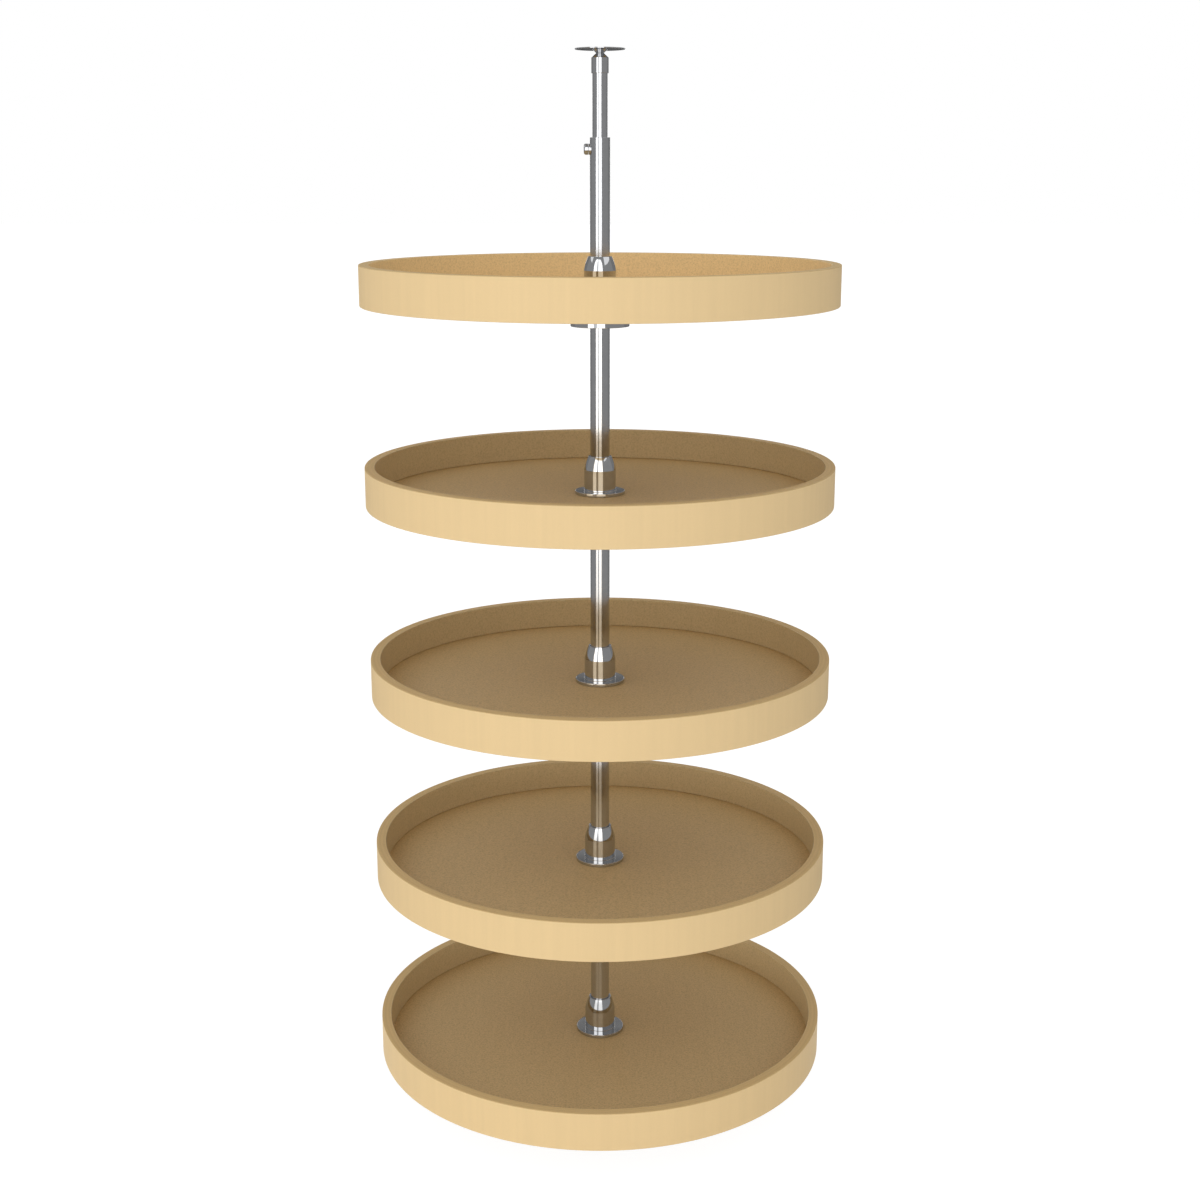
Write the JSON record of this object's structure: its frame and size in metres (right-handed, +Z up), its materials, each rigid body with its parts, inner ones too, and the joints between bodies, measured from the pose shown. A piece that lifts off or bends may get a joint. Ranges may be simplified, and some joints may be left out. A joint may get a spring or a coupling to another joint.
{
  "type": "rotating pantry carousel",
  "caption": "Round wooden trays, one above another, each turning on a bearing hub on a telescoping chromed post that is held between a floor plate and a ceiling plate.",
  "frame": {"origin": "centre of the floor plate's underside, on the post's axis", "axes": "+Z up along the post; +Y to the back; +X to the right as seen from the front, so the lock screw is on -X"},
  "size_m": [0.6096, 0.6096, 1.3946],
  "materials": {
    "maple_hoop": "bent plywood with a pale maple face, clear satin lacquer",
    "maple_board": "flat plywood with a pale maple face, clear satin lacquer",
    "chrome": "bright chrome plate",
    "zinc_steel": "zinc plate, dull",
    "nylon": "moulded nylon, natural white"
  },
  "bodies": {
    "base": {"floor_plate": "zinc_steel", "floor_pivot_pin": "zinc_steel", "floor_thrust_washer": "nylon"},
    "post": {"post_bottom_plug": "nylon", "post_outer_tube": "chrome", "post_guide_sleeve": "nylon", "lock_boss": "chrome"},
    "lock": {"lock_screw": "chrome"},
    "mast": {"post_inner_tube": "chrome", "top_cap": "chrome", "top_pivot_pin": "zinc_steel"},
    "ceiling": {"ceiling_socket": "chrome", "ceiling_plate": "chrome"},
    "carrier_1": {"shelf_1_ball_ring": "zinc_steel", "shelf_1_lower_race": "zinc_steel", "shelf_1_support_cup": "chrome", "shelf_1_set_screw": "zinc_steel"},
    "tray_1": {"shelf_1_rim": "maple_hoop", "shelf_1_board": "maple_board", "shelf_1_top_hub": "chrome", "shelf_1_bush": "nylon", "shelf_1_bearing_plate": "zinc_steel"},
    "carrier_2": {"shelf_2_ball_ring": "zinc_steel", "shelf_2_lower_race": "zinc_steel", "shelf_2_support_cup": "chrome", "shelf_2_set_screw": "zinc_steel"},
    "tray_2": {"shelf_2_rim": "maple_hoop", "shelf_2_board": "maple_board", "shelf_2_top_hub": "chrome", "shelf_2_bush": "nylon", "shelf_2_bearing_plate": "zinc_steel"},
    "carrier_3": {"shelf_3_ball_ring": "zinc_steel", "shelf_3_lower_race": "zinc_steel", "shelf_3_support_cup": "chrome", "shelf_3_set_screw": "zinc_steel"},
    "tray_3": {"shelf_3_rim": "maple_hoop", "shelf_3_board": "maple_board", "shelf_3_top_hub": "chrome", "shelf_3_bush": "nylon", "shelf_3_bearing_plate": "zinc_steel"},
    "carrier_4": {"shelf_4_ball_ring": "zinc_steel", "shelf_4_lower_race": "zinc_steel", "shelf_4_support_cup": "chrome", "shelf_4_set_screw": "zinc_steel"},
    "tray_4": {"shelf_4_rim": "maple_hoop", "shelf_4_board": "maple_board", "shelf_4_top_hub": "chrome", "shelf_4_bush": "nylon", "shelf_4_bearing_plate": "zinc_steel"},
    "carrier_5": {"shelf_5_ball_ring": "zinc_steel", "shelf_5_lower_race": "zinc_steel", "shelf_5_support_cup": "chrome", "shelf_5_set_screw": "zinc_steel"},
    "tray_5": {"shelf_5_rim": "maple_hoop", "shelf_5_board": "maple_board", "shelf_5_top_hub": "chrome", "shelf_5_bush": "nylon", "shelf_5_bearing_plate": "zinc_steel"}
  },
  "joints": [
    {"name": "post_spin", "type": "hinge", "parent": "base", "child": "post", "pos_m": [0, 0, 0.01], "axis": [0, 0, 1], "continuous": true},
    {"name": "lock_turn", "type": "hinge", "parent": "post", "child": "lock", "pos_m": [-0.0148, 0, 1.274], "axis": [-1, 0, 0], "range_deg": [0, 720]},
    {"name": "mast_slide", "type": "slide", "parent": "post", "child": "mast", "axis": [0, 0, 1], "range_m": [-0.075, 0.12]},
    {"name": "ceiling_swivel", "type": "hinge", "parent": "mast", "child": "ceiling", "pos_m": [0, 0, 1.3888], "axis": [0, 0, 1], "continuous": true},
    {"name": "shelf_1_height", "type": "slide", "parent": "post", "child": "carrier_1", "axis": [0, 0, 1], "range_m": [-0.075, 0.075]},
    {"name": "shelf_1_spin", "type": "hinge", "parent": "carrier_1", "child": "tray_1", "pos_m": [0, 0, 1.0828], "axis": [0, 0, 1], "continuous": true},
    {"name": "shelf_2_height", "type": "slide", "parent": "post", "child": "carrier_2", "axis": [0, 0, 1], "range_m": [-0.075, 0.075]},
    {"name": "shelf_2_spin", "type": "hinge", "parent": "carrier_2", "child": "tray_2", "pos_m": [0, 0, 0.8271], "axis": [0, 0, 1], "continuous": true},
    {"name": "shelf_3_height", "type": "slide", "parent": "post", "child": "carrier_3", "axis": [0, 0, 1], "range_m": [-0.075, 0.075]},
    {"name": "shelf_3_spin", "type": "hinge", "parent": "carrier_3", "child": "tray_3", "pos_m": [0, 0, 0.5714], "axis": [0, 0, 1], "continuous": true},
    {"name": "shelf_4_height", "type": "slide", "parent": "post", "child": "carrier_4", "axis": [0, 0, 1], "range_m": [-0.075, 0.075]},
    {"name": "shelf_4_spin", "type": "hinge", "parent": "carrier_4", "child": "tray_4", "pos_m": [0, 0, 0.3157], "axis": [0, 0, 1], "continuous": true},
    {"name": "shelf_5_height", "type": "slide", "parent": "post", "child": "carrier_5", "axis": [0, 0, 1], "range_m": [-0.012, 0.075]},
    {"name": "shelf_5_spin", "type": "hinge", "parent": "carrier_5", "child": "tray_5", "pos_m": [0, 0, 0.06], "axis": [0, 0, 1], "continuous": true}
  ],
  "couplings": [
    {"joint": "ceiling_swivel", "follows": "post_spin", "ratio": -1}
  ]
}
